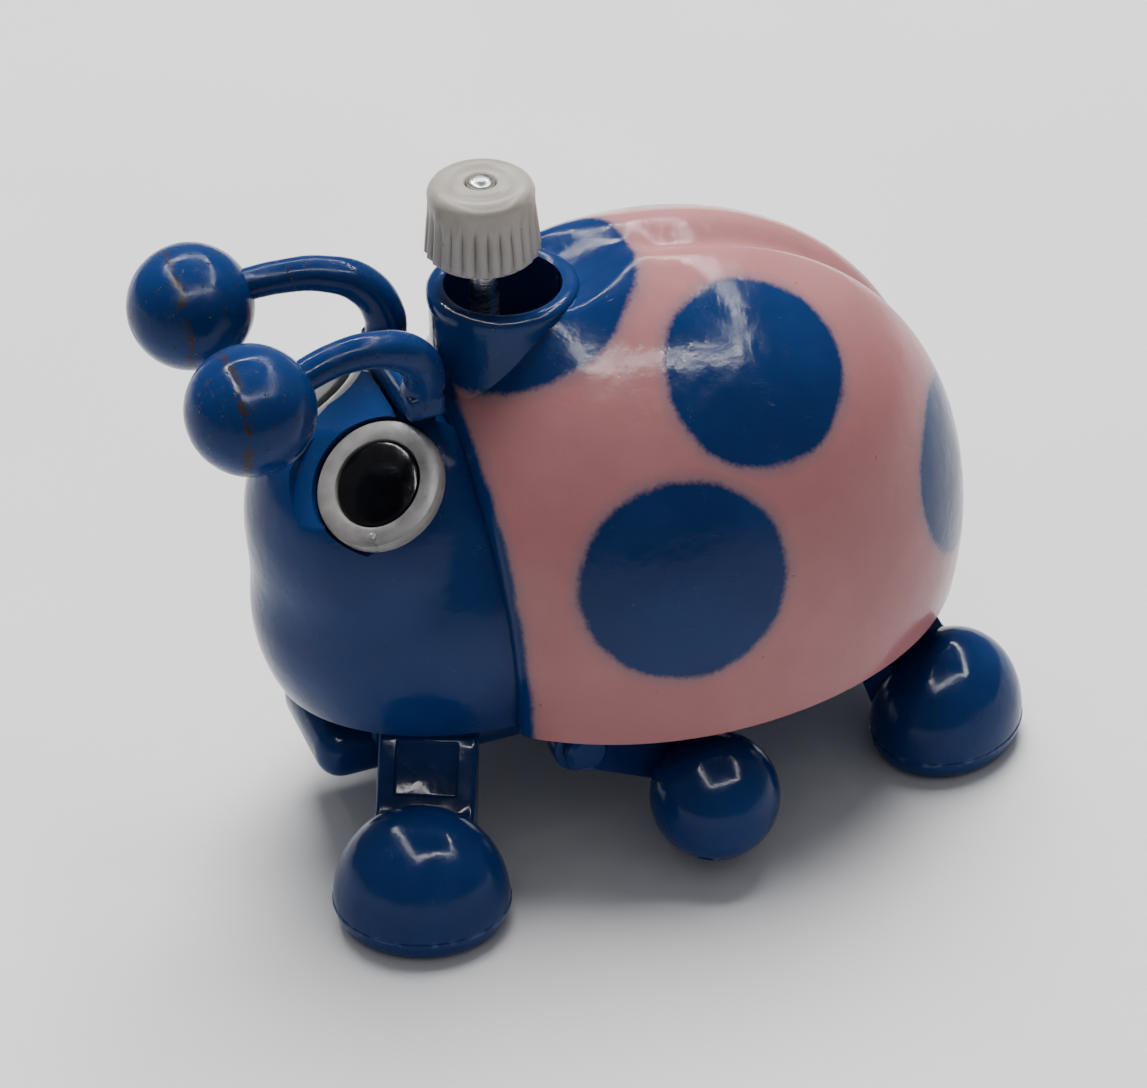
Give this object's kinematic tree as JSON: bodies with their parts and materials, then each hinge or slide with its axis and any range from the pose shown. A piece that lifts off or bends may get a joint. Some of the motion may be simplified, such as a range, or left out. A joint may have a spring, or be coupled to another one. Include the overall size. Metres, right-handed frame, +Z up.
{
  "type": "wind-up walking ladybug toy",
  "caption": "Clockwork walking ladybug: domed wing-case shell, goggle eyes, ball feelers, ball feet, rocking middle legs and a winding knob on top.",
  "frame": {"origin": "centre of the footprint on the floor the feet stand on", "axes": "+Z up, -Y the way the toy faces, +X its left side"},
  "size_m": [0.0445, 0.0627, 0.051],
  "materials": {
    "sprayed_shell": "blue moulding sprayed pink with blue spots",
    "blue_plastic": "glossy moulded",
    "white_plastic": "satin moulded",
    "black_plastic": "polished",
    "nylon": "translucent natural nylon",
    "ivory_plastic": "moulded acetal",
    "brass": "stamped",
    "steel": "turned, bright",
    "spring_steel": "blued strip"
  },
  "bodies": {
    "body": {"body_shell": "sprayed_shell", "antennae": "blue_plastic", "chassis": "blue_plastic", "mainspring": "spring_steel", "spring_housing": "ivory_plastic", "motor_lower_plate": "ivory_plastic", "motor_upper_plate": "ivory_plastic", "left_axle_bearing": "ivory_plastic", "right_axle_bearing": "ivory_plastic", "left_eye_ring": "white_plastic", "left_pupil": "black_plastic", "left_leg_pin": "blue_plastic", "rear_left_leg": "blue_plastic", "rear_left_leg_screw": "steel", "right_eye_ring": "white_plastic", "right_pupil": "black_plastic", "right_leg_pin": "blue_plastic", "rear_right_leg": "blue_plastic", "rear_right_leg_screw": "steel", "front_leg_pivot_screw": "steel", "front_shell_screw": "steel", "rear_shell_screw": "steel", "motor_pillar_1": "steel", "motor_pillar_2": "steel", "motor_pillar_3": "steel", "motor_pillar_4": "steel"},
    "winding": {"winding_arbor": "steel", "winding_knob": "nylon", "great_gear": "brass"},
    "second": {"second_arbor": "steel", "second_pinion": "steel", "second_wheel": "brass", "crown_gear": "ivory_plastic"},
    "escape": {"escape_arbor": "steel", "escape_pinion": "steel", "escape_wheel": "brass"},
    "pallet": {"pallet_arbor": "steel", "pallet_lever": "ivory_plastic"},
    "axle": {"cross_axle": "steel", "axle_pinion": "brass", "left_crank": "ivory_plastic", "right_crank": "ivory_plastic"},
    "front_bar": {"front_legs": "blue_plastic"},
    "left_rocker": {"left_middle_leg": "blue_plastic"},
    "right_rocker": {"right_middle_leg": "blue_plastic"}
  },
  "joints": [
    {"name": "winding_spin", "type": "hinge", "parent": "body", "child": "winding", "pos_m": [0, -0.0075, 0.021], "axis": [0, 0, 1], "continuous": true},
    {"name": "second_spin", "type": "hinge", "parent": "body", "child": "second", "pos_m": [0, 0.0009, 0.02], "axis": [0, 0, 1], "continuous": true},
    {"name": "escape_spin", "type": "hinge", "parent": "body", "child": "escape", "pos_m": [0, 0.0079, 0.02], "axis": [0, 0, 1], "continuous": true},
    {"name": "axle_spin", "type": "hinge", "parent": "body", "child": "axle", "pos_m": [0, 0.0009, 0.012], "axis": [1, 0, 0], "continuous": true},
    {"name": "pallet_rock", "type": "hinge", "parent": "body", "child": "pallet", "pos_m": [0, 0.0131, 0.0208], "axis": [0, 0, 1], "range_deg": [-4, 4]},
    {"name": "front_leg_swing", "type": "hinge", "parent": "body", "child": "front_bar", "pos_m": [0, -0.01174, 0.0106], "axis": [0, 0, 1], "range_deg": [0, 26]},
    {"name": "left_leg_rock", "type": "hinge", "parent": "body", "child": "left_rocker", "pos_m": [0.01205, -0.0055, 0.0096], "axis": [1, 0, 0], "range_deg": [-7, 7]},
    {"name": "right_leg_rock", "type": "hinge", "parent": "body", "child": "right_rocker", "pos_m": [-0.01205, -0.0055, 0.0096], "axis": [1, 0, 0], "range_deg": [-7.5, 7.5]}
  ],
  "couplings": [
    {"joint": "winding_spin", "follows": "second_spin", "ratio": -0.33333},
    {"joint": "escape_spin", "follows": "second_spin", "ratio": -3},
    {"joint": "axle_spin", "follows": "second_spin", "ratio": -2.4},
    {"joint": "right_leg_rock", "follows": "left_leg_rock", "ratio": -1}
  ]
}
